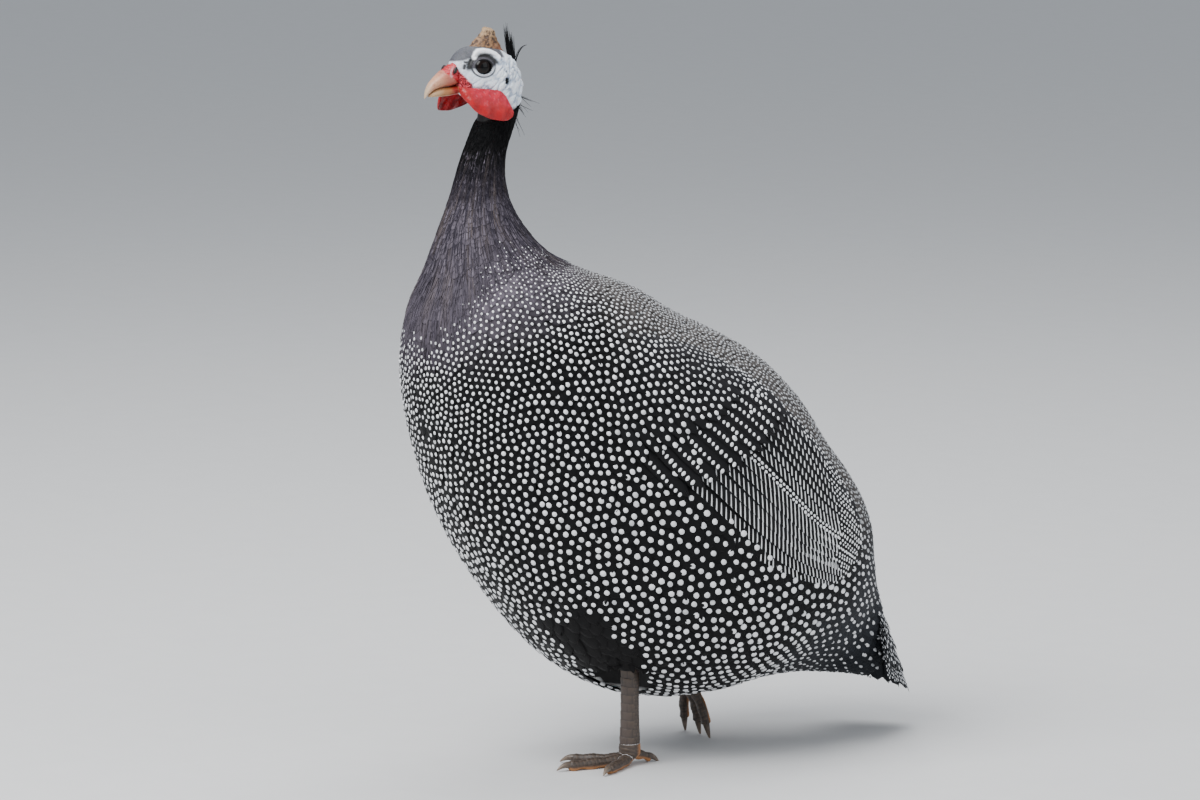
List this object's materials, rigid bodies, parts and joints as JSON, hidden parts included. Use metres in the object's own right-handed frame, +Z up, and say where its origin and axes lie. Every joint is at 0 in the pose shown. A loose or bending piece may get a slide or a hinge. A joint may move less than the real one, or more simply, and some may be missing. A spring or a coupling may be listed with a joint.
{
  "type": "guinea fowl",
  "caption": "Plump helmeted guinea fowl stepping forward, neck raised, with a bony casque, hanging wattles, folded wings and a short drooping tail.",
  "frame": {"origin": "on the floor under the middle of the bird's bounding box", "axes": "+Z up, the bird faces -Y, its left side is +X"},
  "size_m": [0.2008, 0.3657, 0.4726],
  "materials": {
    "bare_skin": "bluish-white wrinkled bare skin",
    "casque_horn": "rough brown horn",
    "bill_horn": "smooth pinkish horn",
    "eye_glass": "polished dark eye",
    "wattle_skin": "waxy red skin",
    "black_feathers": "black hair-like feathers",
    "lilac_feathers": "plain grey-lilac feathers",
    "spotted_feathers": "black feathers with round white spots",
    "barred_feathers": "dark feathers with fine white bars and spots",
    "leg_scales": "dark scaled skin and claws"
  },
  "bodies": {
    "root": {"head": "bare_skin", "casque": "casque_horn", "bill_upper": "bill_horn", "bill_lower": "bill_horn", "eye_left": "eye_glass", "eye_right": "eye_glass", "wattle_left": "wattle_skin", "wattle_right": "wattle_skin", "crest": "black_feathers", "neck_upper": "black_feathers", "neck_lower": "lilac_feathers", "torso": "spotted_feathers", "thigh_left": "spotted_feathers", "thigh_right": "spotted_feathers", "wing_left": "barred_feathers", "wing_right": "barred_feathers", "tail": "barred_feathers", "leg_left": "leg_scales", "leg_right": "leg_scales", "foot_left": "leg_scales", "foot_right": "leg_scales"}
  },
  "joints": []
}
